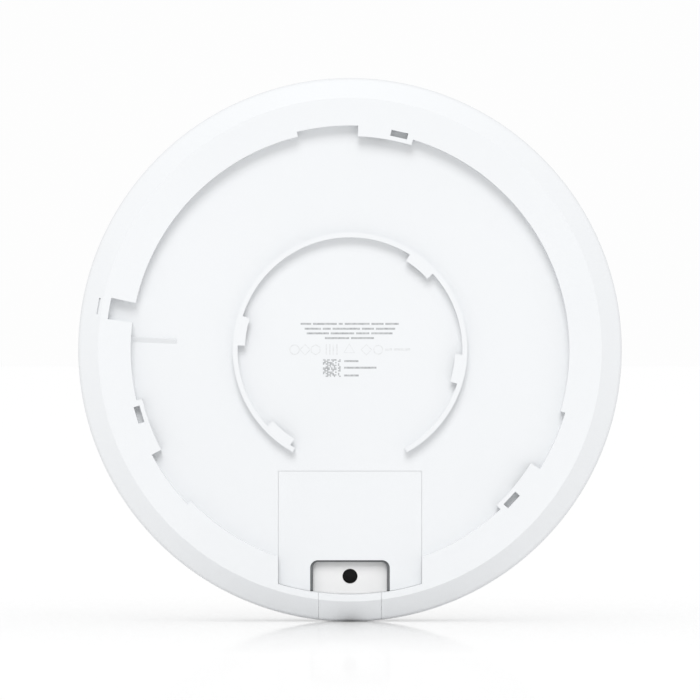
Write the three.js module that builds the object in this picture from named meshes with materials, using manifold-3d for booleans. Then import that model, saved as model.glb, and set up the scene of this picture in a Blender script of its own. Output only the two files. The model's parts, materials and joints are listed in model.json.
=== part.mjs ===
// A round ceiling access point, taken apart into its real pieces. Units are millimetres.
//
// Bench frame: the unit lies on its dome. X runs to the right and Y away from the cable port, both in the
// plane of the ceiling, and Z points out of the back. Z = 0 is the ceiling itself. The last lines stand the
// whole unit on its rim, port down, with its back facing -Y, +Z up and the origin on the recess floor.
import * as THREE from "three";
import { mergeVertices } from "three/addons/utils/BufferGeometryUtils.js";
import Module from "manifold-3d";

const wasm = await Module();
wasm.setup();

// ---------------------------------------------------------------- driving dimensions
const WIDEST_R = 103; // the rim, where the back shell meets the dome
const WIDEST_Z = -12;
const APEX_Z = -44; // front of the dome
const CREASE_R = 95.1; // outer edge of the flat that meets the ceiling
const CHAMFER = { tilt: 32, round: 1.2, wall: 2 }; // sloping band between that edge and the upright side
const SHELL_SEGMENTS = 72;

const FLOOR_Z = -4.5; // floor of the bracket recess
const PLATE = 2; // wall under that floor
const INNER_Z = FLOOR_Z - PLATE;
const RECESS_R = 82.9;
const GROOVE_R = 88.2; // inner side of the hollow under the flat
const SKIN = 2.2;
const LIP_R = 93.3; // inner side of the thin lip along the port and the latch slot

const TAB_R = 80.7; // bayonet tabs reach in to this radius
const POCKET_R = 84.75; // lugs of the bracket turn in pockets of this radius
const TAB_THICK = 1.8;
const TAB_STARTS = [73.3, 193.3, 313.3];
const TAB_SWEEP = 14.6;
const ENTRY_SWEEP = 15.8; // open gap beside each tab, where a lug drops in
// A blind pocket in each tab, in the post that stops the lug.
const TAB_WINDOW = { length: 6.5, width: 2.3, radius: 83.4, offset: 3.8, depth: 2.4, wall: 0.8 };

const LATCH = { from: 167.7, to: 172.8, radius: 92.3, wall: 2.1 };
const RELEASE_SLIT = { angle: 170.15, width: 6.2, top: -0.7, bottom: -1.2 };
const ALIGN_RIB = { angle: 177.3, from: 66.5, width: 1.2, height: 0.5 };

const COLLAR = { inner: 42.5, outer: 44.35, from: -61, to: 240.8, top: -1 }; // for a small bracket
const COLLAR_TABS = { centres: [50.2, 170.2, 230.3, 350], half: 7.6, inner: 39.7, thick: 1.4 };

const COVER = { half: 26.9, top: -46.2, radius: 93, thick: 2 };
const NOTCH = { half: 15, top: -80, corner: 2.9 };
const HOOK = { from: 15, to: 21, stem: 1.4, reach: 1.4, thick: 1.1 }; // two, at the inner edge of the hatch
const TONGUE_SPRING = { from: 17, to: 23.5, y: -86.8, thick: 1.2, end: -11 };
const COVER_RIB = { x: 21.8, y: -70.5, from: -84, to: -64, width: 1, height: 1.5 };
const GAP = 0.3;
const TRAY = { half: 25.8, top: -44.4, radius: 91.9, wall: 1.2, floor: -19, flange: 3.2 };
const SEAT = { half: 15.8, wall: 3, back: -88.6, front: -79.4, ridge: 2.5, foot: -12.2 }; // holds the gland
const PLATFORM = { x: 12.5, y: -62, top: -14, wall: 1.2 }; // raised floor round the reset button
const GLAND = { half: 13.95, top: -81.05, radius: 92.9, face: -8, back: -10, corner: 2 };
const SEAL = { half: 14.8, inset: 0.65, corner: 2.6, end: -91.7 };
const CABLE = { radius: 2.85, y: -86.2, sleeve: -12.5, sleeveWall: 1.2 };
const EXIT = { half: 11.8, inner: 92.5, depth: -7.9 };

const BOARD = { radius: 79, back: -21.05, front: -22.65 };
const SEATED = BOARD.back + 0.1; // foot of the parts on the back of the board
const BOSS = { radius: 70, angles: [30, 150, 210, 330], outer: 3.5, bore: 1.3, foot: -20.8, depth: 10.8 };
const STUB = { radius: 52, angles: [90, 200, 340], outer: 3, bore: 0.95, foot: -8.1, depth: 2.7 };
const SPREADER = { radius: 77, back: -8.3, front: -10.3, foot: -17.6, inset: 3, portHalf: 31, portTop: -41 };
const FIN = { from: 28, to: 60, height: 4, half: 0.6, rows: [-28, -22, -16, -10, 10, 16, 22, 28] };
const CHIPS = [
  { name: "processor", x: 0, y: 8, w: 30, h: 30 },
  { name: "radio_left", x: -38, y: 5, w: 26, h: 34 },
  { name: "radio_right", x: 38, y: 5, w: 26, h: 34 },
];
const CAN = { back: -18.75, front: SEATED };
const PAD = { back: -17.7, front: -18.7 };
const JACK = { half: 8, mouth: -63.5, rear: -47.5, top: -7.8, foot: -20.9, sheet: 0.5 };
const SOCKET = { half: 5.9, top: -10.2, foot: -18.3, rear: -51 };
const CONTACT = { count: 8, pitch: 1.02, half: 0.25, top: -10.5, foot: -10.9, tip: -60.5, root: -52 };
const RESET = { x: 18.5, y: -53, stem: 1.8, flange: 2.7, top: -13.2, shoulder: -15.5, foot: -17.3 };
const ANTENNA = { count: 6, radius: 60, half: 9, reach: 4, rise: 9, sheet: 0.5 };
const LIGHT_R = 2.3;
const LIGHT_PIPE = { flange: 4, stem: 2, thick: 0.8, foot: -23.7 };
const THROUGH = 1; // how far a cutter runs past the face it opens
const SUNK = 0.5; // how far a joined piece reaches into the wall it stands on

// ---------------------------------------------------------------- shapes and solids
const radians = THREE.MathUtils.degToRad;

function onCircle(radius, degrees) {
  return new THREE.Vector2(radius * Math.cos(radians(degrees)), radius * Math.sin(radians(degrees)));
}

// Points along an arc about the origin, in steps of at most 5 degrees.
function arc(radius, from, to) {
  const steps = Math.max(1, Math.ceil(Math.abs(to - from) / 5));
  return Array.from({ length: steps + 1 }, (_, i) => onCircle(radius, from + ((to - from) * i) / steps));
}

// A closed three.js geometry as a manifold-3d solid.
function solid(geometry) {
  const bare = geometry.clone();
  bare.deleteAttribute("normal");
  bare.deleteAttribute("uv");
  const merged = mergeVertices(bare, 1e-4);
  return new wasm.Manifold(
    new wasm.Mesh({
      numProp: 3,
      vertProperties: merged.attributes.position.array,
      triVerts: new Uint32Array(merged.index.array),
    }),
  );
}

function geometryOf(made) {
  const mesh = made.getMesh();
  const geometry = new THREE.BufferGeometry();
  geometry.setAttribute("position", new THREE.BufferAttribute(mesh.vertProperties, 3));
  geometry.setIndex(new THREE.BufferAttribute(mesh.triVerts, 1));
  geometry.computeVertexNormals();
  return geometry;
}

function join(first, ...others) {
  return others.reduce((sum, other) => sum.add(other), first);
}

function cut(first, ...others) {
  return others.reduce((rest, other) => rest.subtract(other), first);
}

function prism(points, low, high) {
  const shape = new THREE.Shape(points);
  const geometry = new THREE.ExtrudeGeometry(shape, { depth: high - low, bevelEnabled: false });
  return solid(geometry.translate(0, 0, low));
}

function slab(x0, x1, y0, y1, z0, z1) {
  const geometry = new THREE.BoxGeometry(x1 - x0, y1 - y0, z1 - z0);
  return solid(geometry.translate((x0 + x1) / 2, (y0 + y1) / 2, (z0 + z1) / 2));
}

function drum(radius, low, high, x = 0, y = 0, sides = 24) {
  const geometry = new THREE.CylinderGeometry(radius, radius, high - low, sides).rotateX(Math.PI / 2);
  return solid(geometry.translate(x, y, (low + high) / 2));
}

// A ring or disc turned about the Z axis from [radius, z] points.
function turned(profile, segments = SHELL_SEGMENTS) {
  const points = profile.map(([radius, z]) => new THREE.Vector2(radius, z));
  if (THREE.ShapeUtils.isClockWise(points)) points.reverse();
  return solid(new THREE.LatheGeometry(points, segments).rotateX(Math.PI / 2));
}

function sector(inner, outer, from, to, low, high) {
  return prism([...arc(outer, from, to), ...arc(inner, to, from)], low, high);
}

// A box that lies along a radius: from one radius to another, at an angle.
function radialBox(from, to, width, low, high, degrees) {
  return slab(from, to, -width / 2, width / 2, low, high).rotate([0, 0, degrees]);
}

// The outline of everything at the cable port: straight sides and top, and an arc that follows the rim.
function portOutline(half, top, radius) {
  const corner = THREE.MathUtils.radToDeg(Math.acos(half / radius));
  const rim = arc(radius, 180 + corner, 360 - corner);
  return [new THREE.Vector2(half, top), new THREE.Vector2(-half, top), ...rim];
}

// The same outline with its two top corners rounded.
function roundedPortOutline(half, top, radius, corner) {
  const turn = (x, from) =>
    arc(corner, from, from + 90).map((p) => new THREE.Vector2(x + p.x, top - corner + p.y));
  const tail = portOutline(half, top, radius).slice(2);
  return [...turn(half - corner, 0), ...turn(corner - half, 90), ...tail];
}

// ---------------------------------------------------------------- casings
// Side of the back shell as [radius, z] points: down the sloping band, round a corner and down the side.
function outerSide() {
  const { tilt, round } = CHAMFER;
  const slope = Math.tan(radians(tilt));
  const turn = arc(round, 90 - tilt, 0);
  const centreR = WIDEST_R - round;
  const centreZ = -(centreR + turn[0].x - CREASE_R) * slope - turn[0].y;
  const corner = turn.map((p) => [centreR + p.x, centreZ + p.y]);
  return [[CREASE_R, 0], ...corner, [WIDEST_R, WIDEST_Z]];
}

// The same side seen from the hollow, one wall further in.
function innerSide() {
  const { tilt, wall } = CHAMFER;
  const slope = Math.tan(radians(tilt));
  const drop = wall / Math.cos(radians(tilt));
  const radius = WIDEST_R - wall;
  return [
    [radius, WIDEST_Z],
    [radius, -(radius - CREASE_R) * slope - drop],
    [CREASE_R + (SKIN - drop) / slope, -SKIN],
  ];
}

// The back shell before the cap for the sideways cable exit is cut out of it.
function shellBlank() {
  const body = turned([
    [0, FLOOR_Z],
    [RECESS_R, FLOOR_Z],
    [RECESS_R, 0],
    ...outerSide(),
    ...innerSide(),
    [GROOVE_R, -SKIN],
    [GROOVE_R, INNER_Z],
    [0, INNER_Z],
  ]);
  const latchBlock = sector(
    RECESS_R,
    LIP_R + 2,
    LATCH.from - LATCH.wall,
    LATCH.to + LATCH.wall,
    INNER_Z,
    -PLATE,
  );
  const portBlock = prism(portOutline(COVER.half + 2.5, -76, LIP_R + 1.7), INNER_Z, -PLATE);
  const glandBlock = prism(portOutline(NOTCH.half + 2.5, -88, LIP_R + 1.7), GLAND.back - SUNK, -PLATE);
  const pockets = TAB_STARTS.map((start) =>
    sector(TAB_R + 1, POCKET_R, start, start + TAB_SWEEP + ENTRY_SWEEP, FLOOR_Z, THROUGH),
  );
  const tabs = TAB_STARTS.map((start) =>
    sector(TAB_R, POCKET_R + SUNK, start, start + TAB_SWEEP, -TAB_THICK, 0),
  );
  const { radius, width, length, offset, depth, wall } = TAB_WINDOW;
  const inner = radius - width / 2;
  const windows = TAB_STARTS.map((start) =>
    radialBox(inner, inner + width, length, -depth, THROUGH, start + offset),
  );
  const posts = TAB_STARTS.map((start) =>
    radialBox(inner - wall, POCKET_R + SUNK, length + 2 * wall, FLOOR_Z - SUNK, -1, start + offset),
  );
  const latchSlot = sector(RECESS_R - 1, LATCH.radius, LATCH.from, LATCH.to, FLOOR_Z, THROUGH);
  const releaseSlit = radialBox(
    LATCH.radius - 1,
    WIDEST_R + 1,
    RELEASE_SLIT.width,
    RELEASE_SLIT.bottom,
    RELEASE_SLIT.top,
    RELEASE_SLIT.angle,
  );
  const openingLow = GLAND.back - THROUGH;
  const opening = prism(portOutline(COVER.half + GAP, COVER.top + GAP, LIP_R), openingLow, THROUGH);
  const { angle, from, height } = ALIGN_RIB;
  const rib = radialBox(from, RECESS_R + SUNK, ALIGN_RIB.width, FLOOR_Z - SUNK, FLOOR_Z + height, angle);
  const filled = join(body, latchBlock, portBlock, glandBlock);
  const cored = cut(filled, ...pockets, latchSlot, releaseSlit, opening);
  return join(cut(join(cored, ...tabs, ...posts), ...windows), rib);
}

function collar() {
  const { inner, outer, from, to, top } = COLLAR;
  const wall = sector(inner, outer, from, to, FLOOR_Z - SUNK, top);
  const tabs = COLLAR_TABS.centres.map((centre) =>
    sector(
      COLLAR_TABS.inner,
      inner + SUNK,
      centre - COLLAR_TABS.half,
      centre + COLLAR_TABS.half,
      top - COLLAR_TABS.thick,
      top,
    ),
  );
  return join(wall, ...tabs);
}

function screwPosts() {
  const posts = BOSS.angles.map((angle) => {
    const at = onCircle(BOSS.radius, angle);
    const post = drum(BOSS.outer, BOSS.foot, INNER_Z + SUNK, at.x, at.y);
    return cut(post, drum(BOSS.bore, BOSS.foot - THROUGH, BOSS.foot + BOSS.depth, at.x, at.y, 12));
  });
  const stubs = STUB.angles.map((angle) => {
    const at = onCircle(STUB.radius, angle);
    return drum(STUB.outer, STUB.foot, INNER_Z + SUNK, at.x, at.y, 16);
  });
  return [...posts, ...stubs];
}

const blank = shellBlank();
const exitReach = WIDEST_R + 3;

function backShell() {
  const exitGap = slab(
    -EXIT.half - GAP,
    EXIT.half + GAP,
    -exitReach,
    -EXIT.inner,
    EXIT.depth - GAP,
    THROUGH,
  );
  const stubPilots = STUB.angles.map((angle) => {
    const at = onCircle(STUB.radius, angle);
    return drum(STUB.bore, STUB.foot - THROUGH, STUB.foot + STUB.depth, at.x, at.y, 12);
  });
  return cut(join(blank, collar(), ...screwPosts()), exitGap, ...stubPilots);
}

function exitCap() {
  return blank.intersect(slab(-EXIT.half, EXIT.half, -exitReach, -EXIT.inner, EXIT.depth, THROUGH));
}

// Dome profile: a superellipse, which is nearly flat in the middle and turns quickly at the rim.
const DOME_POWER = 2.6;
function domeArc(radius, depth, start, steps, from = 0, to = 90) {
  return Array.from({ length: steps + 1 }, (_, i) => {
    const turn = radians(from + ((to - from) * i) / steps);
    const share = (value) => Math.pow(Math.max(0, value), 2 / DOME_POWER);
    return [radius * share(Math.cos(turn)), start - depth * share(Math.sin(turn))];
  });
}

const DOME_EDGE_Z = WIDEST_Z - GAP;
const TONGUE = { inner: 98.4, outer: 99.9, top: -9.5, root: 1.5 };
const GASKET = { inner: 98.2, outer: 99.6, front: -9.3, back: -7.9 };

function frontDome() {
  const outside = domeArc(WIDEST_R, DOME_EDGE_Z - APEX_Z, DOME_EDGE_Z, 10);
  const innerRadius = WIDEST_R - SKIN;
  const innerDepth = DOME_EDGE_Z - APEX_Z - SKIN;
  const inside = domeArc(innerRadius, innerDepth, DOME_EDGE_Z, 6, 12).reverse();
  const cup = turned([
    ...inside.slice(0, -1),
    [TONGUE.inner, inside.at(-2)[1] + TONGUE.root],
    [TONGUE.inner, TONGUE.top],
    [TONGUE.outer, TONGUE.top],
    [TONGUE.outer, DOME_EDGE_Z],
    ...outside,
  ]);
  return cut(cup, drum(LIGHT_R + GAP, APEX_Z - 1, APEX_Z + 5));
}

function domeGasket() {
  const { inner, outer, front, back } = GASKET;
  return turned([
    [inner, front],
    [inner, back],
    [outer, back],
    [outer, front],
    [inner, front],
  ]);
}

// ---------------------------------------------------------------- cable port
// A box given for the right-hand side, and its mirror image on the left.
function pairOf(x0, x1, ...rest) {
  return [slab(x0, x1, ...rest), slab(-x1, -x0, ...rest)];
}

function portCover() {
  const { half, top, radius, thick } = COVER;
  const under = FLOOR_Z - thick;
  const panel = prism(portOutline(half, top, radius), under, FLOOR_Z);
  const notch = prism(
    roundedPortOutline(NOTCH.half, NOTCH.top, radius + 5, NOTCH.corner),
    under - THROUGH,
    FLOOR_Z + THROUGH,
  );
  const hookFoot = top - HOOK.stem - 0.6;
  const stems = pairOf(HOOK.from, HOOK.to, hookFoot, top - 0.6, under - HOOK.thick, under + GAP);
  const hooks = pairOf(HOOK.from, HOOK.to, hookFoot, top + HOOK.reach, under - HOOK.thick, under - GAP);
  const spring = TONGUE_SPRING;
  const springs = pairOf(spring.from, spring.to, spring.y, spring.y + spring.thick, spring.end, under + GAP);
  const { x, y, from, to, width, height } = COVER_RIB;
  const ribs = pairOf(x, x + width, from, to, under - height, under + GAP);
  const crossRib = slab(-x - width, x + width, y, y + width, under - height, under + GAP);
  return join(cut(panel, notch), ...stems, ...hooks, ...springs, ...ribs, crossRib);
}

function portTray() {
  const { half, top, radius, wall, floor, flange } = TRAY;
  const under = INNER_Z - GAP;
  const tub = prism(portOutline(half, top, radius), floor - wall, under);
  const rim = prism(portOutline(half + flange, top + 1.8, radius + 1), under - wall, under);
  const inside = prism(portOutline(half - wall, top - wall, radius - wall), floor, THROUGH);
  const seatTop = GLAND.back - 0.2;
  const seatSides = pairOf(SEAT.half - SEAT.wall, SEAT.half, SEAT.back, SEAT.front, floor - SUNK, seatTop);
  const seatRidge = slab(-SEAT.half, SEAT.half, SEAT.front - SEAT.ridge, SEAT.front, SEAT.foot, seatTop);
  const glandRoom = prism(portOutline(NOTCH.half, NOTCH.top + GAP, LIP_R), GLAND.back - 0.1, THROUGH);
  const hookRoom = pairOf(
    HOOK.from - 0.6,
    HOOK.to + 0.6,
    COVER.top - HOOK.stem - 1.4,
    top + 2,
    INNER_Z - HOOK.thick - 1.4,
    THROUGH,
  );
  const jackRoom = slab(
    -JACK.half - 0.4,
    JACK.half + 0.4,
    JACK.mouth - 2.6,
    JACK.rear + 0.4,
    floor - 2,
    floor + THROUGH,
  );
  const shelf = PLATFORM;
  const platform = slab(shelf.x, half - SUNK, shelf.y, top - SUNK, floor - wall, shelf.top);
  const platformHollow = slab(
    shelf.x + shelf.wall,
    half - wall,
    shelf.y + shelf.wall,
    top - wall,
    floor - 2,
    shelf.top - shelf.wall,
  );
  const buttonHole = drum(RESET.stem + GAP, shelf.top - 2, shelf.top + THROUGH, RESET.x, RESET.y);
  const furnished = join(cut(join(tub, rim), inside), ...seatSides, seatRidge, platform);
  return cut(furnished, glandRoom, ...hookRoom, jackRoom, platformHollow, buttonHole);
}

function cableGland() {
  const { half, top, radius, face, back, corner } = GLAND;
  const plug = prism(roundedPortOutline(half, top, radius, corner), back, face);
  const sleeve = drum(CABLE.radius + CABLE.sleeveWall, CABLE.sleeve, back + SUNK, 0, CABLE.y);
  const hole = drum(CABLE.radius, CABLE.sleeve - THROUGH, THROUGH, 0, CABLE.y, 32);
  return cut(join(plug, sleeve), hole);
}

function glandSeal() {
  const { half, inset, corner, end } = SEAL;
  const top = NOTCH.top - 0.2;
  const low = GLAND.back - THROUGH;
  const outer = prism(roundedPortOutline(half, top, LIP_R - 0.4, corner), GLAND.back, FLOOR_Z - 0.6);
  const inner = prism(roundedPortOutline(half - inset, top - inset, LIP_R + 3, GLAND.corner), low, FLOOR_Z);
  return cut(outer, inner, slab(-half - THROUGH, half + THROUGH, -LIP_R, end, low, FLOOR_Z));
}

function jackShield() {
  const { half, mouth, rear, top, foot, sheet } = JACK;
  const inside = slab(sheet - half, half - sheet, mouth - THROUGH, rear - sheet, foot + sheet, top - sheet);
  return cut(slab(-half, half, mouth, rear, foot, top), inside);
}

function jackHousing() {
  const { half, mouth, rear, top, foot } = JACK;
  const block = slab(0.7 - half, half - 0.7, mouth + GAP, rear - 0.7, foot + 0.7, top - 0.7);
  const socket = slab(-SOCKET.half, SOCKET.half, mouth - SUNK, SOCKET.rear, SOCKET.foot, SOCKET.top);
  const keyway = slab(-3.1, 3.1, mouth - SUNK, SOCKET.rear - 3, SOCKET.foot - 1.2, SOCKET.foot + GAP);
  return cut(block, socket, keyway);
}

function jackContacts() {
  const { count, pitch, half, top, foot, tip, root } = CONTACT;
  const bar = slab(-4.2, 4.2, root, root + 0.8, foot - 0.6, top + 0.1);
  const fingers = Array.from({ length: count }, (_, i) => {
    const x = (i - (count - 1) / 2) * pitch;
    return slab(x - half, x + half, tip, root + 0.2, foot, top);
  });
  return join(bar, ...fingers);
}

function resetButton() {
  const { stem, flange, top, shoulder, foot } = RESET;
  return turned(
    [
      [0, foot],
      [flange, foot],
      [flange, shoulder],
      [stem, shoulder],
      [stem, top],
      [0, top],
    ],
    20,
  );
}

// ---------------------------------------------------------------- electronics
function mainBoard() {
  const holes = BOSS.angles.map((angle) => {
    const at = onCircle(BOSS.radius, angle);
    return drum(1.7, BOARD.front - THROUGH, BOARD.back + THROUGH, at.x, at.y, 16);
  });
  return cut(drum(BOARD.radius, BOARD.front, BOARD.back, 0, 0, 48), ...holes);
}

function heatSpreader() {
  const { radius, back, front, foot, inset, portHalf, portTop } = SPREADER;
  const plate = drum(radius, front, back, 0, 0, 48);
  const low = front - THROUGH;
  const high = back + THROUGH;
  const portRoom = slab(-portHalf, portHalf, -radius, portTop, low, high);
  const bossRoom = BOSS.angles.map((angle) => {
    const at = onCircle(BOSS.radius, angle);
    return drum(BOSS.outer + 0.7, low, high, at.x, at.y, 16);
  });
  const screwHoles = STUB.angles.map((angle) => {
    const at = onCircle(STUB.radius, angle);
    return drum(1.5, low, high, at.x, at.y, 12);
  });
  const pedestals = CHIPS.map(({ x, y, w, h }) =>
    slab(x - w / 2 + inset, x + w / 2 - inset, y - h / 2 + inset, y + h / 2 - inset, foot, front + SUNK),
  );
  const fins = FIN.rows.map((x) =>
    slab(x - FIN.half, x + FIN.half, FIN.from, FIN.to, front - FIN.height, front + SUNK),
  );
  return join(cut(plate, portRoom, ...bossRoom, ...screwHoles), ...pedestals, ...fins);
}

// A stamped antenna: a slotted arm that two legs and a soldered foot hold above the front of the board.
function antenna() {
  const { half, reach, rise, sheet } = ANTENNA;
  const top = BOARD.front - rise;
  const arm = slab(-half, half, -reach, reach, top, top + sheet);
  const slot = slab(3.5 - half, half + THROUGH, -0.6, 0.6, top - THROUGH, top + sheet + THROUGH);
  const foot = BOARD.front - 0.1;
  const legs = [sheet / 2 - half, 5 + sheet / 2 - half].map((x) =>
    slab(x - sheet / 2, x + sheet / 2, reach - 2.5, reach - 0.5, top, foot),
  );
  const pad = slab(-half, 5.5 - half, reach - 2.5, reach - 0.5, foot - 0.4, foot);
  return join(cut(arm, slot), ...legs, pad);
}

function lightPipe() {
  const { flange, stem, thick, foot } = LIGHT_PIPE;
  const tip = APEX_Z + 0.05;
  const seat = APEX_Z + SKIN + GAP;
  return turned(
    [
      [0, tip],
      [LIGHT_R, tip],
      [LIGHT_R, seat],
      [flange, seat],
      [flange, seat + thick],
      [stem, seat + thick],
      [stem, foot],
      [0, foot],
    ],
    24,
  );
}

function screw(shank, length, head, height) {
  return turned(
    [
      [0, length],
      [shank, length],
      [shank, 0],
      [head, 0],
      [head, -height * 0.5],
      [head * 0.7, -height],
      [0, -height],
    ],
    12,
  );
}

// ---------------------------------------------------------------- materials and assembly
function paint(color, roughness, metalness = 0) {
  return new THREE.MeshStandardMaterial({ color, roughness, metalness });
}

const shellWhite = paint(0xf1f3f5, 0.55);
const domeWhite = paint(0xf2f4f5, 0.42);
const softGrey = paint(0xd9dcdd, 0.7);
const darkRubber = paint(0x4b4e50, 0.8);
const blackPlastic = paint(0x1c1d1f, 0.5);
const steel = paint(0xb9bcc0, 0.35, 1);
const gold = paint(0xd0a546, 0.3, 1);
const aluminium = paint(0xa9adb1, 0.45, 1);
const boardGreen = paint(0x1d5b36, 0.5);
const padBlue = paint(0x7f9fb8, 0.9);
const ferrite = paint(0x2b2c2e, 0.75);
const clearPlastic = paint(0xe8eef2, 0.2);

const unit = new THREE.Group();

function add(name, shape, material, parent = unit) {
  const mesh = new THREE.Mesh(shape.isBufferGeometry ? shape : geometryOf(shape), material);
  mesh.name = name;
  parent.add(mesh);
  return mesh;
}

add("back_shell", backShell(), shellWhite);
add("front_dome", frontDome(), domeWhite);
add("dome_gasket", domeGasket(), darkRubber);
add("cable_exit_cap", exitCap(), shellWhite);

add("port_cover", portCover(), shellWhite);
add("port_bay_tray", portTray(), blackPlastic);
add("cable_gland", cableGland(), softGrey);
add("gland_seal", glandSeal(), darkRubber);
add("jack_shield", jackShield(), steel);
add("jack_housing", jackHousing(), blackPlastic);
add("jack_contacts", jackContacts(), gold);
add("reset_button", resetButton(), blackPlastic).position.set(RESET.x, RESET.y, 0);
add("reset_switch", slab(-3, 3, -3, 3, SEATED, -18.1), ferrite).position.set(RESET.x, RESET.y, 0);

add("main_board", mainBoard(), boardGreen);
add("heat_spreader", heatSpreader(), aluminium);
for (const { name, x, y, w, h } of CHIPS) {
  const can = slab(x - w / 2, x + w / 2, y - h / 2, y + h / 2, CAN.front, CAN.back);
  add(`shield_can_${name}`, can, steel);
  const pad = slab(x - w / 2 + 4, x + w / 2 - 4, y - h / 2 + 4, y + h / 2 - 4, PAD.front, PAD.back);
  add(`thermal_pad_${name}`, pad, padBlue);
}
add("poe_transformer", slab(-33, -19, -37, -21, SEATED, -11.6), ferrite);
add("lan_transformer", slab(-8.5, 8.5, -37, -25, SEATED, -14.5), ferrite);
for (const [i, x] of [21, 31].entries()) {
  add(`bulk_capacitor_${i + 1}`, drum(4, SEATED, -12, 0, 0, 20), blackPlastic).position.set(x, -29, 0);
}

const antennaShape = geometryOf(antenna());
for (let i = 0; i < ANTENNA.count; i += 1) {
  const turn = new THREE.Group();
  turn.rotation.z = radians((360 / ANTENNA.count) * i);
  add(`antenna_${i + 1}`, antennaShape, steel, turn).rotation.z = -Math.PI / 2;
  turn.children[0].position.set(ANTENNA.radius, 0, 0);
  unit.add(turn);
}

add("status_led", slab(-1.6, 1.6, -1.4, 1.4, -23.4, -22.75), clearPlastic);
add("status_light_pipe", lightPipe(), clearPlastic);

const boardScrew = geometryOf(screw(1.1, 11, 2.7, 1.9));
for (const [i, angle] of BOSS.angles.entries()) {
  const at = onCircle(BOSS.radius, angle);
  add(`board_screw_${i + 1}`, boardScrew, steel).position.set(at.x, at.y, BOARD.front - 0.1);
}
const spreaderScrew = geometryOf(screw(0.8, 4, 2.4, 1.6));
for (const [i, angle] of STUB.angles.entries()) {
  const at = onCircle(STUB.radius, angle);
  add(`spreader_screw_${i + 1}`, spreaderScrew, steel).position.set(at.x, at.y, SPREADER.front - 0.1);
}

unit.rotation.x = Math.PI / 2;
unit.position.y = FLOOR_Z;
const accessPoint = new THREE.Group();
accessPoint.add(unit);

export default accessPoint;
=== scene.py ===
import json
import math

import bmesh
import bpy
from mathutils import Matrix, Vector


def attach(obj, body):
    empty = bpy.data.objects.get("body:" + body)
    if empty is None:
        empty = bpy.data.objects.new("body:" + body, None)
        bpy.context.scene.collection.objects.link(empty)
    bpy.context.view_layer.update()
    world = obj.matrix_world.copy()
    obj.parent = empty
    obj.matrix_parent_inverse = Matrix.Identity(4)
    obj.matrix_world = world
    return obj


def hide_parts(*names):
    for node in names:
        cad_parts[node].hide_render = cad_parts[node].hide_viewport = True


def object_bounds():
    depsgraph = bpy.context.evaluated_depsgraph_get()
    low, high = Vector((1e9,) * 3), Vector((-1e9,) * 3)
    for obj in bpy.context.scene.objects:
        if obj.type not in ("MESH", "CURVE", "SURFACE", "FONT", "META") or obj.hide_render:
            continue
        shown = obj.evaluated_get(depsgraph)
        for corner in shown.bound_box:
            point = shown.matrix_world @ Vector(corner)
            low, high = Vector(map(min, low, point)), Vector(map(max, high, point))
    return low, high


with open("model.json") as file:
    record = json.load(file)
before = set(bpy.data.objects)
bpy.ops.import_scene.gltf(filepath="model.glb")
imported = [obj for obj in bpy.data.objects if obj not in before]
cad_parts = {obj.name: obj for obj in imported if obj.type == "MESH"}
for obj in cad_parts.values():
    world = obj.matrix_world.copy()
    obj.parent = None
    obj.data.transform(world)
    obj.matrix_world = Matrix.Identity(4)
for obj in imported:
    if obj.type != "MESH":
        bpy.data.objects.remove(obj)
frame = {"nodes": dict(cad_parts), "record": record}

cad_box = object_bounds()

# A white ceiling access point, standing on its rim with its back to the camera.
#
# Outlines are drawn in millimetres in a bench frame: X to the right, Y away from the cable port, Z out of
# the back, with the ceiling at Z = 0. BENCH_TO_FRAME takes them to the model's frame, in metres, with the
# back at -Y and the floor of the bracket recess at Y = 0.
MM = 0.001
RECESS_FLOOR = -4.5
BENCH_TO_FRAME = Matrix(
    ((MM, 0, 0, 0), (0, 0, -MM, RECESS_FLOOR * MM), (0, MM, 0, 0), (0, 0, 0, 1))
)

# ---------------------------------------------------------------- sizes, in millimetres and degrees
# Names that end in R are radii, from the axis of the unit but for CABLE_R and SLEEVE_R.
GAP = 0.3  # clearance between solids, as in the CAD
SEAM = 0.09  # a closed joint as it looks, narrower than that clearance
PAST = 1.0  # how far a cutter runs past the face it opens
OVERLAP = 0.5  # how far joined shapes run into each other
SUNK = 0.02  # how far a shape that stands on a face starts below it
STEP_APART = 0.1  # keeps faces out of one plane
TURN_STEP = 1.0  # between the points of an arc
SHORTEST = 0.25  # least distance between two points of an arc, as a share of its step
SEGMENTS = 360  # of a turned shape
DRUM_SIDES = 72

# rim and back plate
WIDEST_R = 103.0
WIDEST_Z = -12.0
APEX_Z = -44.0
CREASE_R = 95.1
CHAMFER_TILT = 32.0
CHAMFER_ROUND = 2.4
CHAMFER_STEP = 9.0
SIDE_WALL = 2.0
PLATE = 2.0
PLATE_UNDER = RECESS_FLOOR - PLATE
SKIN = 2.2
RECESS_R = 82.9
GROOVE_R = 88.2
LIP_R = 92.6

# bayonet tabs, and the windows in the posts beside them
TAB_R = 80.7
POCKET_R = 84.75
TAB_THICK = 1.8
TAB_STARTS = (73.3, 193.3, 313.3)
TAB_PITCH = 120
TAB_SWEEP = 14.6
ENTRY_SWEEP = 15.8
POST_TOP = -1.0
WINDOW_LENGTH = 6.5
WINDOW_WIDTH = 2.3
WINDOW_R = 83.4
WINDOW_OFFSET = 3.8
WINDOW_DEPTH = 3.7
WINDOW_WALL = 0.8

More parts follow.
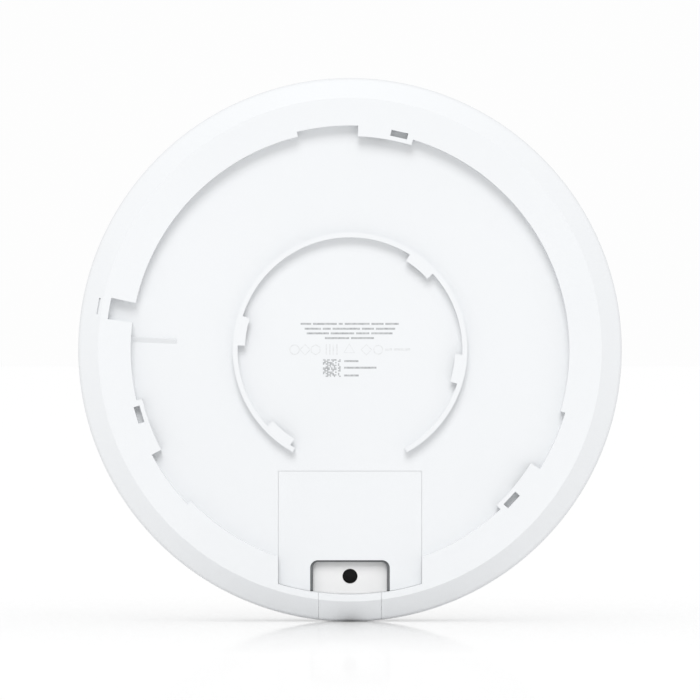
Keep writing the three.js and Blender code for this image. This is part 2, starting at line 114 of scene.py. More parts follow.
# latch slot, release slit and aligning rib
LATCH_FROM = 167.7
LATCH_TO = 172.8
LATCH_R = 92.3
LATCH_BLOCK_R = 94.6
LATCH_WALL = 2.1
SLIT_ANGLE = 170.15
SLIT_WIDTH = 6.2
SLIT_R = 96.45
SLIT_GAP = 0.55
SLIT_BOTTOM = -1.7
RIB_ANGLE = 177.3
RIB_LEAN = -0.7  # from the middle of the rib's foot to its crest
RIB_FROM = 66.5
RIB_WIDTH = 2.0
RIB_CREST = 0.1
RIB_HEIGHT = 0.9

# collar
COLLAR_IN = 42.5
COLLAR_OUT = 44.35
COLLAR_FROM = -61.0
COLLAR_TO = 240.8
COLLAR_TOP = -1.0
COLLAR_TAB_R = 39.7
COLLAR_TAB_THICK = 1.4
COLLAR_TAB_HALF = 7.6
COLLAR_TABS = (50.2, 170.2, 230.3, 350.0)

# hatch, and the opening round it
COVER_HALF = 26.9
COVER_TOP = -46.2
COVER_THICK = 2.0
CORNER_STEP = 10
NOTCH_HALF = 15.05
NOTCH_TOP = -79.7
NOTCH_CORNER = 2.9
SHELF_DEPTH = 0.8
SHELF_REACH = 0.6
BLOCK_WALL = 2.5
BLOCK_R = 94.3
PORT_BLOCK_TOP = -76.0
GLAND_BLOCK_TOP = -88.0

# fittings under the hatch
COVER_RIB = 1.0
COVER_RIB_DROP = 1.5
COVER_RIB_X = 22.8
CROSS_RIB_Y = -70.5
SIDE_RIB_FROM = -84.0
SIDE_RIB_TO = -64.0
HOOK_FROM = 15.0
HOOK_TO = 21.0
HOOK_DROP = 1.1
HOOK_BACK = 2.0
HOOK_THICK = 1.2
HOOK_TOE = 1.4
CATCH_FROM = 17.0
CATCH_TO = 23.5
CATCH_Y = -86.8
CATCH_THICK = 1.2
CATCH_END = -11.0

# gland, seal and exit cap
GLAND_HALF = 14.1
GLAND_TOP = -80.45
GLAND_R = 92.58
GLAND_FACE = -8.0
GLAND_BACK = -10.0
GLAND_CORNER = 2.1
SEAL_PLAY = 0.06
SEAL_WIDTH = 0.85
SEAL_TOP = 0.7
SEAL_FACE = -5.4
SEAL_FOOT = -91.2
CABLE_Y = -85.95
CABLE_R = 2.85
SLEEVE_R = 4.05
SLEEVE_END = -12.5
EXIT_HALF = 11.9
EXIT_SEAM = 0.05
EXIT_INNER = 91.4
EXIT_DEPTH = -7.9

# dome, with the tongue that fits inside the back shell
DOME_EDGE_Z = WIDEST_Z - GAP
DOME_POWER = 2.6
DOME_STEPS = 60
HOLLOW_STEPS = 24
HOLLOW_FROM = 19.8  # where the curve of the hollow starts, inside the tongue
TONGUE_IN = 98.4
TONGUE_OUT = 99.9
TONGUE_TOP = -9.5
TONGUE_RISE = 1.5
LIGHT_R = 2.3

# print on the back
PRINT_TOP = RECESS_FLOOR + 0.03
PRINT_LOW = RECESS_FLOOR - SUNK
BAR_HEIGHT = 0.7
WORD_SPACE = 0.7
TYPE_ROWS = (  # height, left end, and the lengths of the words
    (9.8, -18.7, (4.0, 9.0, 1.6, 9.4, 4.6, 5.1)),
    (7.95, -17.2, (6.2, 3.0, 10.4, 4.6, 7.3)),
    (6.2, -16.4, (8.4, 8.9, 5.0, 8.1)),
    (4.4, -9.5, (9.2, 8.7)),
    (-4.3, -2.2, (5.4,)),
    (-6.8, -2.2, (12.2,)),
    (-9.75, -2.2, (5.5,)),
)
SQUARE_LEFT = -10.25
SQUARE_TOP = -3.6
SQUARE_SIZE = 6.7
SQUARE_CELLS = 13
CELL_SPARE = 0.01  # keeps cells that touch at a corner apart
OUTLINE_WIDTH = 0.45
OUTLINES = (  # place, radius and number of sides
    (-21.0, 2.0, 36),
    (-17.0, 2.2, 4),
    (-13.0, 2.1, 6),
    (-0.3, 2.5, 3),
    (6.2, 2.2, 4),
    (10.7, 1.9, 36),
)
STRIPES = (-9.2, -7.9, -6.6, -5.2)
STRIPE_WIDTH = 0.5
STRIPE_LOW = -1.9
STRIPE_HIGH = 2.1
SIDE_ROW = (0.1, 13.3, (2.6, 6.2))
SIDE_ROW_HEIGHT = 0.9

# ---------------------------------------------------------------- finishing of meshes
EDGE_ANGLE = math.radians(24)  # sharper corners than this are edges
BEVEL_SEGMENTS = 3
NORMAL_WEIGHT = 80
MERGE = 0.0001  # points closer than this, in millimetres, are one point
LEVEL = 0.99999  # a face whose normal's Z passes this, up or down, is shaded flat
ON_AXIS = 0.000001


# ---------------------------------------------------------------- outlines
def on_circle(radius, degrees):
    turn = math.radians(degrees)
    return (radius * math.cos(turn), radius * math.sin(turn))


def arc(radius, start, stop, centre=(0.0, 0.0), step=TURN_STEP):
    """Points from start to stop, on the whole steps between them, so that arcs of one centre line up."""
    sign = 1 if stop > start else -1
    index = math.floor(start / step) + 1 if sign > 0 else math.ceil(start / step) - 1
    angles = [start]
    while (stop - index * step) * sign > step * SHORTEST:
        if (index * step - start) * sign > step * SHORTEST:
            angles.append(index * step)
        index += sign
    angles.append(stop)
    points = [on_circle(radius, angle) for angle in angles]
    return [(centre[0] + x, centre[1] + y) for x, y in points]


def rectangle(x0, x1, y0, y1):
    return [(x0, y0), (x1, y0), (x1, y1), (x0, y1)]


def radial_rectangle(inner, outer, width, degrees):
    turn = math.radians(degrees)
    corners = rectangle(inner, outer, -width / 2, width / 2)
    return [
        (x * math.cos(turn) - y * math.sin(turn), x * math.sin(turn) + y * math.cos(turn))
        for x, y in corners
    ]


def sector(inner, outer, start, stop):
    return arc(outer, start, stop) + arc(inner, stop, start)


def polygon(radius, sides):
    return [on_circle(radius, 90 + 360 * k / sides) for k in range(sides)]


def port_outline(half, top, radius, corner=0.0):
    """Straight sides and top, and an arc that follows the rim; the top corners may be rounded."""
    foot = math.degrees(math.acos(half / radius))
    rim = arc(radius, 180 + foot, 360 - foot)
    if not corner:
        return [(half, top), (-half, top)] + rim
    right = arc(corner, 0, 90, (half - corner, top - corner), CORNER_STEP)
    left = arc(corner, 90, 180, (corner - half, top - corner), CORNER_STEP)
    return right + left + rim


def recess_outline():
    """Once round the bracket recess: in at each bayonet tab, out at the gap beside it."""
    points = []
    for start in TAB_STARTS:
        gap_from = start + TAB_SWEEP
        gap_to = gap_from + ENTRY_SWEEP
        points += arc(TAB_R, start, gap_from)
        points += arc(POCKET_R, gap_from, gap_to)
        points += arc(RECESS_R, gap_to, start + TAB_PITCH)
    return points


# ---------------------------------------------------------------- solids
def linked(name, bm):
    bmesh.ops.recalc_face_normals(bm, faces=bm.faces)
    mesh = bpy.data.meshes.new(name)
    bm.to_mesh(mesh)
    bm.free()
    obj = bpy.data.objects.new(name, mesh)
    bpy.context.scene.collection.objects.link(obj)
    return obj


def prism(outline, low, high, upper=None):
    """An upright solid. Its sides slope where a second outline, of as many points, is its upper end."""
    bm = bmesh.new()
    bottom = [bm.verts.new((x, y, low)) for x, y in outline]
    top = [bm.verts.new((x, y, high)) for x, y in upper or outline]
    bm.faces.new(bottom[::-1])
    bm.faces.new(top)
    for i in range(len(outline)):
        j = (i + 1) % len(outline)
        bm.faces.new((bottom[i], bottom[j], top[j], top[i]))
    return linked("prism", bm)


def drum(radius, low, high, y=0.0):
    step = 360 / DRUM_SIDES
    ring = [on_circle(radius, step * i) for i in range(DRUM_SIDES)]
    return prism([(x, y + along) for x, along in ring], low, high)


def turned(profile):
    """A solid of revolution from [radius, z] points. A flat end on the axis becomes one face."""
    bm = bmesh.new()
    turns = [math.tau * i / SEGMENTS for i in range(SEGMENTS)]
    rings = []
    for radius, z in profile:
        if radius < ON_AXIS:
            rings.append([bm.verts.new((0, 0, z))])
        else:
            rings.append([bm.verts.new((radius * math.cos(t), radius * math.sin(t), z)) for t in turns])
    pairs = list(zip(rings, rings[1:]))
    if len(rings[0]) > 1:
        pairs.append((rings[-1], rings[0]))
    for a, b in pairs:
        for i in range(SEGMENTS):
            j = (i + 1) % SEGMENTS
            if len(a) == 1:
                bm.faces.new((a[0], b[i], b[j]))
            elif len(b) == 1:
                bm.faces.new((a[i], b[0], a[j]))
            else:
                bm.faces.new((a[i], b[i], b[j], a[j]))
    for ring in rings:
        if len(ring) == 1:
            heights = {round(v.co.z, 6) for face in ring[0].link_faces for v in face.verts}
            if len(heights) == 1:
                bmesh.ops.dissolve_verts(bm, verts=ring)
    return linked("turned", bm)


def combine(base, operation, others):
    """Joins or cuts base with the others, one after another, and removes them."""
    for other in others:
        modifier = base.modifiers.new("combine", "BOOLEAN")
        modifier.operation = operation
        modifier.solver = "MANIFOLD"
        modifier.object = other
    graph = bpy.context.evaluated_depsgraph_get()
    result = bpy.data.meshes.new_from_object(base.evaluated_get(graph))
    base.modifiers.clear()
    base.data = result
    for other in others:
        bpy.data.objects.remove(other)
    return base


def join(base, *others):
    return combine(base, "UNION", others)


def cut(base, *others):
    return combine(base, "DIFFERENCE", others)


def copied(obj, name):
    twin = obj.copy()
    twin.data = obj.data.copy()
    twin.name = name
    bpy.context.scene.collection.objects.link(twin)
    return twin


def weigh_normals(obj, keep_sharp):
    """Large faces decide how a corner is shaded, so that they look flat up to their edges."""
    normals = obj.modifiers.new("normals", "WEIGHTED_NORMAL")
    normals.mode = "FACE_AREA"
    normals.weight = NORMAL_WEIGHT
    normals.keep_sharp = keep_sharp


def round_edges(obj, width):
    bevel = obj.modifiers.new("edges", "BEVEL")
    bevel.width = width
    bevel.segments = BEVEL_SEGMENTS
    bevel.limit_method = "ANGLE"
    bevel.angle_limit = EDGE_ANGLE
    bevel.use_clamp_overlap = True
    weigh_normals(obj, keep_sharp=False)


def crisp_edges(obj):
    obj.data.set_sharp_from_angle(angle=EDGE_ANGLE)
    weigh_normals(obj, keep_sharp=True)


def finish_piece(obj, name, body, slot, replaced=(), edge=0.0, material=None):
    """Takes a bench solid to the model's frame, and gives it its edges, body and finish.

    Edges are rounded to edge millimetres, or stay crisp where that is 0.
    """
    obj.name = name
    obj.data.name = name
    bm = bmesh.new()
    bm.from_mesh(obj.data)
    bmesh.ops.remove_doubles(bm, verts=bm.verts, dist=MERGE)
    if not edge:
        bmesh.ops.triangulate(bm, faces=bm.faces, ngon_method="EAR_CLIP")
    bmesh.ops.dissolve_degenerate(bm, edges=bm.edges, dist=MERGE)
    for face in bm.faces:
        face.smooth = abs(face.normal.z) < LEVEL
    bmesh.ops.transform(bm, matrix=BENCH_TO_FRAME, verts=bm.verts)
    bm.to_mesh(obj.data)
    bm.free()
    if edge:
        round_edges(obj, edge * MM)
    else:
        crisp_edges(obj)
    obj.data.materials.clear()
    obj.data.materials.append(material or SLOT_MATERIALS[slot])
    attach(obj, body)
    if replaced:
        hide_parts(*replaced)


# ---------------------------------------------------------------- materials
NOISE_SPAN = (0.3, 0.7)  # where nearly all values of a noise lie


class Nodes:
    """A material's node tree with a Principled shader, and short ways to add to it."""

    def __init__(self, name, color, roughness, metallic=0.0, **inputs):
        self.material = bpy.data.materials.new(name)
        self.material.use_nodes = True
        self.tree = self.material.node_tree
        self.shader = self.tree.nodes["Principled BSDF"]
        self.shader.inputs["Base Color"].default_value = (*color, 1)
        self.shader.inputs["Roughness"].default_value = roughness
        self.shader.inputs["Metallic"].default_value = metallic
        for key, value in inputs.items():
            self.shader.inputs[key.replace("_", " ")].default_value = value
        self.coords = self.tree.nodes.new("ShaderNodeTexCoord").outputs["Object"]

    def link(self, source, target):
        self.tree.links.new(source, target)

    def noise(self, scale, detail, roughness=0.5, coords=None):
        node = self.tree.nodes.new("ShaderNodeTexNoise")
        node.inputs["Scale"].default_value = scale
        node.inputs["Detail"].default_value = detail
        node.inputs["Roughness"].default_value = roughness
        self.link(coords or self.coords, node.inputs["Vector"])
        return node.outputs["Fac"]

    def stretched(self, scale):
        node = self.tree.nodes.new("ShaderNodeMapping")
        node.inputs["Scale"].default_value = scale
        self.link(self.coords, node.inputs["Vector"])
        return node.outputs["Vector"]

    def ramp(self, source, low=0.0, high=1.0, span=NOISE_SPAN):
        """Takes the span of the source to low and high."""
        node = self.tree.nodes.new("ShaderNodeMapRange")
        node.inputs["From Min"].default_value = span[0]
        node.inputs["From Max"].default_value = span[1]
        node.inputs["To Min"].default_value = low
        node.inputs["To Max"].default_value = high
        self.link(source, node.inputs["Value"])
        return node.outputs["Result"]

    def tint(self, factor, first, second):
        """A base colour that goes from the first to the second as the factor goes from 0 to 1."""
        node = self.tree.nodes.new("ShaderNodeMix")
        node.data_type = "RGBA"
        self.link(factor, node.inputs["Factor"])
        for socket, color in ((node.inputs["A"], first), (node.inputs["B"], second)):
            socket.default_value = (*color, 1)
        self.link(node.outputs["Result"], self.shader.inputs["Base Color"])

    def vary_roughness(self, source, low, high):
        self.link(self.ramp(source, low, high), self.shader.inputs["Roughness"])

    def bump(self, source, distance):
        node = self.tree.nodes.new("ShaderNodeBump")
        node.inputs["Distance"].default_value = distance
        self.link(source, node.inputs["Height"])
        self.link(node.outputs["Normal"], self.shader.inputs["Normal"])


def moulded_plastic(name, light, dark, roughness, grain, depth):
    """Injection-moulded plastic: a fine spark-eroded grain, and a slow drift in tone and gloss."""
    nodes = Nodes(name, light, roughness, IOR=1.5)
    nodes.tint(nodes.ramp(nodes.noise(9, 3)), light, dark)
    nodes.vary_roughness(nodes.noise(26, 4), roughness - 0.05, roughness + 0.05)
    nodes.bump(nodes.noise(grain, 3, 0.6), depth)
    return nodes.material


def soft_rubber(name, light, dark, roughness):
    """Silicone or rubber: matt, with a fine uneven skin."""
    nodes = Nodes(name, light, roughness, IOR=1.45)
    nodes.tint(nodes.ramp(nodes.noise(60, 4)), light, dark)
    nodes.vary_roughness(nodes.noise(140, 3), roughness - 0.06, roughness + 0.06)
    nodes.bump(nodes.noise(2600, 4, 0.7), 0.00004)
    return nodes.material


def sheet_metal(name, light, dark, roughness, stretch):
    """Rolled or plated sheet: fine lines along one axis, and cloudy tone."""
    nodes = Nodes(name, light, roughness, 1.0)
    lines = nodes.noise(900, 4, 0.6, nodes.stretched(stretch))
    nodes.tint(nodes.ramp(nodes.noise(40, 3)), light, dark)
    nodes.vary_roughness(lines, roughness - 0.1, roughness + 0.12)
    nodes.bump(lines, 0.00001)
    return nodes.material


def circuit_board():
    """Green solder mask: copper pours and tracks show through as lighter, slightly raised areas."""
    bare = (0.012, 0.10, 0.045)
    copper = (0.03, 0.20, 0.085)
    nodes = Nodes("circuit_board", bare, 0.35, Coat_Weight=0.4)
    cells = nodes.tree.nodes.new("ShaderNodeTexVoronoi")
    cells.distance = "CHEBYCHEV"
    cells.inputs["Scale"].default_value = 150
    nodes.link(nodes.coords, cells.inputs["Vector"])
    pattern = nodes.ramp(cells.outputs["Distance"], span=(0.32, 0.36))
    nodes.tint(pattern, copper, bare)
    nodes.vary_roughness(nodes.noise(500, 3), 0.3, 0.42)
    nodes.bump(pattern, 0.00003)
    return nodes.material


def sintered(name, light, dark):
    """Pressed ferrite or moulded epoxy: dark, with fine pale grains."""
    nodes = Nodes(name, dark, 0.65)
    grains = nodes.noise(1800, 5, 0.7)
    nodes.tint(nodes.ramp(grains, span=(0.55, 0.7)), dark, light)
    nodes.bump(grains, 0.00003)
    return nodes.material


def printed_ink(name, light, dark):
    """Ink that is a little thinner in places."""
    nodes = Nodes(name, light, 0.6)
    nodes.tint(nodes.ramp(nodes.noise(900, 4), span=(0.35, 0.65)), dark, light)
    return nodes.material


def clear_plastic():
    nodes = Nodes("clear_plastic", (0.93, 0.95, 0.96), 0.12, IOR=1.49, Transmission_Weight=0.7)
    nodes.vary_roughness(nodes.noise(300, 3), 0.08, 0.16)
    nodes.bump(nodes.noise(700, 2), 0.00001)
    return nodes.material


FINISHES = (
    (moulded_plastic, "shell_white", (0.755, 0.768, 0.782), (0.74, 0.753, 0.767), 0.52, 3200, 0.00003),
    (moulded_plastic, "dome_white", (0.75, 0.76, 0.77), (0.735, 0.745, 0.755), 0.40, 2400, 0.000015),
    (moulded_plastic, "black_plastic", (0.022, 0.022, 0.024), (0.03, 0.03, 0.032), 0.45, 2400, 0.00003),
    (soft_rubber, "gland_grey", (0.80, 0.80, 0.80), (0.77, 0.77, 0.77), 0.72),
    (soft_rubber, "black_rubber", (0.17, 0.175, 0.18), (0.13, 0.135, 0.14), 0.8),
    (soft_rubber, "pad_blue", (0.16, 0.27, 0.36), (0.13, 0.23, 0.32), 0.85),
    (sheet_metal, "tinned_steel", (0.66, 0.67, 0.69), (0.56, 0.57, 0.59), 0.32, (1, 1, 12)),
    (sheet_metal, "bare_aluminium", (0.68, 0.69, 0.70), (0.60, 0.61, 0.62), 0.42, (12, 1, 1)),
    (sheet_metal, "gold_plating", (0.86, 0.62, 0.22), (0.78, 0.54, 0.18), 0.25, (1, 1, 8)),
    (sintered, "ferrite_black", (0.10, 0.10, 0.105), (0.03, 0.03, 0.032)),
)
SLOT_MATERIALS = {slot: make(slot, *look) for make, slot, *look in FINISHES}
SLOT_MATERIALS["board_green"] = circuit_board()
SLOT_MATERIALS["clear_plastic"] = clear_plastic()
INK_GREY = printed_ink("ink_grey", (0.50, 0.51, 0.52), (0.34, 0.35, 0.36))
INK_FAINT = printed_ink("ink_faint", (0.73, 0.74, 0.75), (0.64, 0.65, 0.66))


# ---------------------------------------------------------------- casings
def outer_side():
    """Side of the back shell, as [radius, z]: down the sloping band, round a corner and down the side."""
    slope = math.tan(math.radians(CHAMFER_TILT))
    turn = arc(CHAMFER_ROUND, 90 - CHAMFER_TILT, 0, step=CHAMFER_STEP)
    centre_r = WIDEST_R - CHAMFER_ROUND
    centre_z = -(centre_r + turn[0][0] - CREASE_R) * slope - turn[0][1]
    corner = [(centre_r + x, centre_z + y) for x, y in turn]
    return [(CREASE_R, 0)] + corner + [(WIDEST_R, WIDEST_Z)]


def inner_side():
    """The same side seen from the hollow, one wall further in."""
    slope = math.tan(math.radians(CHAMFER_TILT))
    drop = SIDE_WALL / math.cos(math.radians(CHAMFER_TILT))
    radius = WIDEST_R - SIDE_WALL
    return [
        (radius, WIDEST_Z),
        (radius, -(radius - CREASE_R) * slope - drop),
        (CREASE_R + (SKIN - drop) / slope, -SKIN),
    ]


def hatch_shelf():
    """A narrow ledge under the hatch's edge, which closes the joint round it; it leaves out the notch."""
    low = PLATE_UNDER + STEP_APART
    out = GAP * 2
    inset = GAP + SHELF_REACH
    outside = port_outline(COVER_HALF + out, COVER_TOP + out, LIP_R + GAP)
    ledge = prism(outside, low, RECESS_FLOOR - SHELF_DEPTH)
    inside = port_outline(COVER_HALF - SHELF_REACH, COVER_TOP - SHELF_REACH, LIP_R - inset)
    notch_half = NOTCH_HALF + SHELF_REACH
    notch = rectangle(-notch_half, notch_half, -WIDEST_R, NOTCH_TOP)
    return cut(ledge, prism(inside, low - PAST, PAST), prism(notch, low - PAST, PAST))


def window_posts():
    """The post beside each bayonet tab, and the blind window that is cut into it."""
    inner = WINDOW_R - WINDOW_WIDTH / 2
    outer = WINDOW_R + WINDOW_WIDTH / 2
    length = WINDOW_LENGTH + 2 * WINDOW_WALL
    posts = []
    windows = []
    for start in TAB_STARTS:
        middle = start + WINDOW_OFFSET
        post = radial_rectangle(inner - WINDOW_WALL, POCKET_R + OVERLAP, length, middle)
        posts.append(prism(post, RECESS_FLOOR - OVERLAP, POST_TOP))
        window = radial_rectangle(inner, outer, WINDOW_LENGTH, middle)
        windows.append(prism(window, -WINDOW_DEPTH, PAST))
    return posts, windows


def port_blocks():
    """Solid stock for the port's sides, and lower down for the seat of the gland."""
    port = port_outline(COVER_HALF + BLOCK_WALL, PORT_BLOCK_TOP, BLOCK_R)
    gland = port_outline(NOTCH_HALF + BLOCK_WALL, GLAND_BLOCK_TOP, BLOCK_R)
    return prism(port, PLATE_UNDER, -PLATE), prism(gland, GLAND_BACK - OVERLAP, -PLATE)


def shell_blank():
    """The back shell before its cable-exit cap is cut out of it."""
    underside = [(GROOVE_R, -SKIN), (GROOVE_R, PLATE_UNDER), (0, PLATE_UNDER)]
    base = turned([(0, 0)] + outer_side() + inner_side() + underside)
    latch_outline = sector(RECESS_R, LATCH_BLOCK_R, LATCH_FROM - LATCH_WALL, LATCH_TO + LATCH_WALL)
    join(base, prism(latch_outline, PLATE_UNDER, -PLATE), *port_blocks())
    recess = prism(recess_outline(), RECESS_FLOOR, PAST)
    pockets = [
        prism(sector(TAB_R - OVERLAP, POCKET_R, start, start + TAB_SWEEP), RECESS_FLOOR, -TAB_THICK)
        for start in TAB_STARTS
    ]
    posts, windows = window_posts()
    latch = prism(sector(RECESS_R - PAST, LATCH_R, LATCH_FROM, LATCH_TO), RECESS_FLOOR, PAST)
    slit_outline = radial_rectangle(SLIT_R - SLIT_GAP / 2, SLIT_R + SLIT_GAP / 2, SLIT_WIDTH, SLIT_ANGLE)
    slit = prism(slit_outline, SLIT_BOTTOM, PAST)
    opening_outline = port_outline(COVER_HALF + GAP, COVER_TOP + GAP, LIP_R)
    opening = prism(opening_outline, GLAND_BACK - PAST, PAST)
    cut(base, recess, *pockets, latch, slit, opening)
    cut(join(base, *posts), *windows)
    return join(base, hatch_shelf())


def collar():
    """The split ring for the small bracket, with its four inward tabs."""
    ring = sector(COLLAR_IN, COLLAR_OUT, COLLAR_FROM, COLLAR_TO)
    wall = prism(ring, RECESS_FLOOR - OVERLAP, COLLAR_TOP)
    tabs = []
    for centre in COLLAR_TABS:
        start = centre - COLLAR_TAB_HALF
        tab = sector(COLLAR_TAB_R, COLLAR_IN + OVERLAP, start, centre + COLLAR_TAB_HALF)
        tabs.append(prism(tab, COLLAR_TOP - COLLAR_TAB_THICK, COLLAR_TOP))
    return join(wall, *tabs)


def aligning_rib():
    """A low rib across the edge of the recess: one side slopes, and the other is upright."""
    foot = radial_rectangle(RIB_FROM - PAST, RECESS_R + OVERLAP, RIB_WIDTH, RIB_ANGLE)
    crest = radial_rectangle(RIB_FROM, RECESS_R + OVERLAP, RIB_CREST, RIB_ANGLE + RIB_LEAN)
    return prism(foot, RECESS_FLOOR - SUNK, RECESS_FLOOR + RIB_HEIGHT, upper=crest)


def exit_block(seam):
    """The part of the rim that the cap takes up, and the seam round it."""
    half = EXIT_HALF + seam
    outline = rectangle(-half, half, -WIDEST_R - PAST, seam - EXIT_INNER)
    return prism(outline, EXIT_DEPTH - seam, PAST)


def make_back():
    shell = shell_blank()
    cap = copied(shell, "cap")
    combine(cap, "INTERSECT", [exit_block(0.0)])
    cut(shell, exit_block(EXIT_SEAM))
    join(shell, collar(), aligning_rib())
    finish_piece(shell, "back_casing", "housing", "shell_white", ["back_shell"])
    finish_piece(cap, "exit_cap", "cable_exit_cap", "shell_white", ["cable_exit_cap"], edge=0.18)


def dome_arc(radius, depth, steps, first=0.0):
    """A superellipse from the rim to the middle: nearly flat there, and quick to turn at the rim."""
    power = 2 / DOME_POWER
    points = []
    for i in range(steps + 1):
        turn = math.radians(first + (90 - first) * i / steps)
        across = max(0.0, math.cos(turn))
        points.append((radius * across**power, DOME_EDGE_Z - depth * math.sin(turn) ** power))
    points[-1] = (0.0, points[-1][1])
    return points


def make_dome():
    depth = DOME_EDGE_Z - APEX_Z
    outside = dome_arc(WIDEST_R, depth, DOME_STEPS)
    inside = dome_arc(WIDEST_R - SKIN, depth - SKIN, HOLLOW_STEPS, HOLLOW_FROM)[::-1]
    tongue = [
        (TONGUE_IN, inside[-1][1] + TONGUE_RISE),
        (TONGUE_IN, TONGUE_TOP),
        (TONGUE_OUT, TONGUE_TOP),
        (TONGUE_OUT, DOME_EDGE_Z),
    ]
    dome = turned(inside + tongue + outside)
    cut(dome, drum(LIGHT_R + GAP, APEX_Z - PAST, APEX_Z + SKIN + PAST))
    finish_piece(dome, "front_radome", "housing", "dome_white", ["front_dome"], edge=0.2)


# ---------------------------------------------------------------- cable port
def mirrored(x0, x1, y0, y1, low, high):
    """A box given for the right-hand side, and its mirror image."""
    return [prism(rectangle(*ends, y0, y1), low, high) for ends in ((x0, x1), (-x1, -x0))]


def cover_fittings(under):
    """Ribs, hooks with their toes, and spring tongues on the inside of the hatch."""
    root = under + GAP
    rib_low = under - COVER_RIB_DROP
    hook_low = under - HOOK_DROP
    hook_y = COVER_TOP - HOOK_BACK
    cross_rib = rectangle(-COVER_RIB_X, COVER_RIB_X, CROSS_RIB_Y, CROSS_RIB_Y + COVER_RIB)
    fittings = [prism(cross_rib, rib_low, root)]
    fittings += mirrored(HOOK_FROM, HOOK_TO, hook_y, hook_y + HOOK_THICK, hook_low, root)
    fittings += mirrored(HOOK_FROM, HOOK_TO, hook_y, COVER_TOP + HOOK_TOE, hook_low, under - GAP)
    fittings += mirrored(CATCH_FROM, CATCH_TO, CATCH_Y, CATCH_Y + CATCH_THICK, CATCH_END, root)
    fittings += mirrored(COVER_RIB_X - COVER_RIB, COVER_RIB_X, SIDE_RIB_FROM, SIDE_RIB_TO, rib_low, root)
    return fittings


def make_cover():
    """The hatch: a thin edge that rests on the shelf, and a thicker middle."""
    under = RECESS_FLOOR - COVER_THICK
    step = GAP - SEAM
    inset = SHELF_REACH + SEAM
    edge_outline = port_outline(COVER_HALF + step, COVER_TOP + step, LIP_R - SEAM)
    panel = prism(edge_outline, RECESS_FLOOR - SHELF_DEPTH + STEP_APART, RECESS_FLOOR)
    core_outline = port_outline(COVER_HALF - inset, COVER_TOP - inset, LIP_R - GAP - inset)
    join(panel, prism(core_outline, under, RECESS_FLOOR - GAP))
    notch = port_outline(NOTCH_HALF, NOTCH_TOP, WIDEST_R, NOTCH_CORNER)
    cut(panel, prism(notch, under - PAST, RECESS_FLOOR + PAST))
    join(panel, *cover_fittings(under))
    finish_piece(panel, "hatch", "port_cover", "shell_white", ["port_cover"], edge=0.16)


def make_gland():
    plug = prism(port_outline(GLAND_HALF, GLAND_TOP, GLAND_R, GLAND_CORNER), GLAND_BACK, GLAND_FACE)
    join(plug, drum(SLEEVE_R, SLEEVE_END, GLAND_BACK + OVERLAP, CABLE_Y))
    cut(plug, drum(CABLE_R, SLEEVE_END - PAST, PAST, CABLE_Y))
    finish_piece(plug, "soft_gland", "cable_gland", "gland_grey", ["cable_gland"], edge=0.15)


def make_seal():
    """A U-shaped strip between the notch and the gland."""
    half = NOTCH_HALF - SEAL_PLAY
    top = NOTCH_TOP - SEAL_PLAY
    low = GLAND_BACK - PAST
    outside = port_outline(half, top, LIP_R - STEP_APART, NOTCH_CORNER)
    inside = port_outline(half - SEAL_WIDTH, NOTCH_TOP - SEAL_TOP, WIDEST_R, GLAND_CORNER)
    below = rectangle(-NOTCH_HALF, NOTCH_HALF, -WIDEST_R, SEAL_FOOT)
    seal = prism(outside, GLAND_BACK, SEAL_FACE)
    cut(seal, prism(inside, low, RECESS_FLOOR), prism(below, low, RECESS_FLOOR))
    finish_piece(seal, "gland_gasket", "housing", "black_rubber", ["gland_seal"], edge=0.1)


# ---------------------------------------------------------------- print on the back
def print_line(y, x, words, height=BAR_HEIGHT):
    """A row of plain bars, as unreadable as small type from a distance."""
    bars = []
    for width in words:
        bars.append(rectangle(x, x + width, y - height / 2, y + height / 2))
        x += width + WORD_SPACE
    return bars


def print_square():
    """A square of scattered cells that says nothing."""
    cell = SQUARE_SIZE / SQUARE_CELLS
    found = []
    for i in range(SQUARE_CELLS):
        for j in range(SQUARE_CELLS):
            if (i * i + 3 * i * j + 5 * j + i // 3) % 7 < 4:
                x = SQUARE_LEFT + i * cell
                y = SQUARE_TOP - (j + 1) * cell
                right = x + cell - CELL_SPARE
                found.append(rectangle(x + CELL_SPARE, right, y + CELL_SPARE, y + cell - CELL_SPARE))
    return found


def print_outline(x, radius, sides):
    """The outline of a circle or of a shape with equal sides."""
    outer = prism([(x + a, b) for a, b in polygon(radius, sides)], PRINT_LOW, PRINT_TOP)
    hollow = [(x + a, b) for a, b in polygon(radius - OUTLINE_WIDTH, sides)]
    return cut(outer, prism(hollow, PRINT_LOW - PAST, PRINT_TOP + PAST))


def print_sheet(name, filled, outlined, ink):
    marks = [prism(outline, PRINT_LOW, PRINT_TOP) for outline in filled] + outlined
    whole = bmesh.new()
    for mark in marks:
        whole.from_mesh(mark.data)
        bpy.data.objects.remove(mark)
    finish_piece(linked(name, whole), name, "housing", "shell_white", material=ink)


def make_print():
    type_bars = [bar for row in TYPE_ROWS for bar in print_line(*row)]
    print_sheet("print_type", type_bars + print_square(), [], INK_GREY)
    stripes = [rectangle(x, x + STRIPE_WIDTH, STRIPE_LOW, STRIPE_HIGH) for x in STRIPES]
    words = print_line(*SIDE_ROW, SIDE_ROW_HEIGHT)
    outlined = [print_outline(*place) for place in OUTLINES]
    print_sheet("print_marks", stripes + words, outlined, INK_FAINT)


make_back()
make_dome()
make_cover()
make_gland()
make_seal()
make_print()

# ---------------------------------------------------------------- CAD pieces that stay
slot_of = {part["node"]: part["material_slot"] for part in frame["record"]["subparts"]}
for node, obj in frame["nodes"].items():
    obj.data.materials.clear()
    obj.data.materials.append(SLOT_MATERIALS[slot_of[node]])

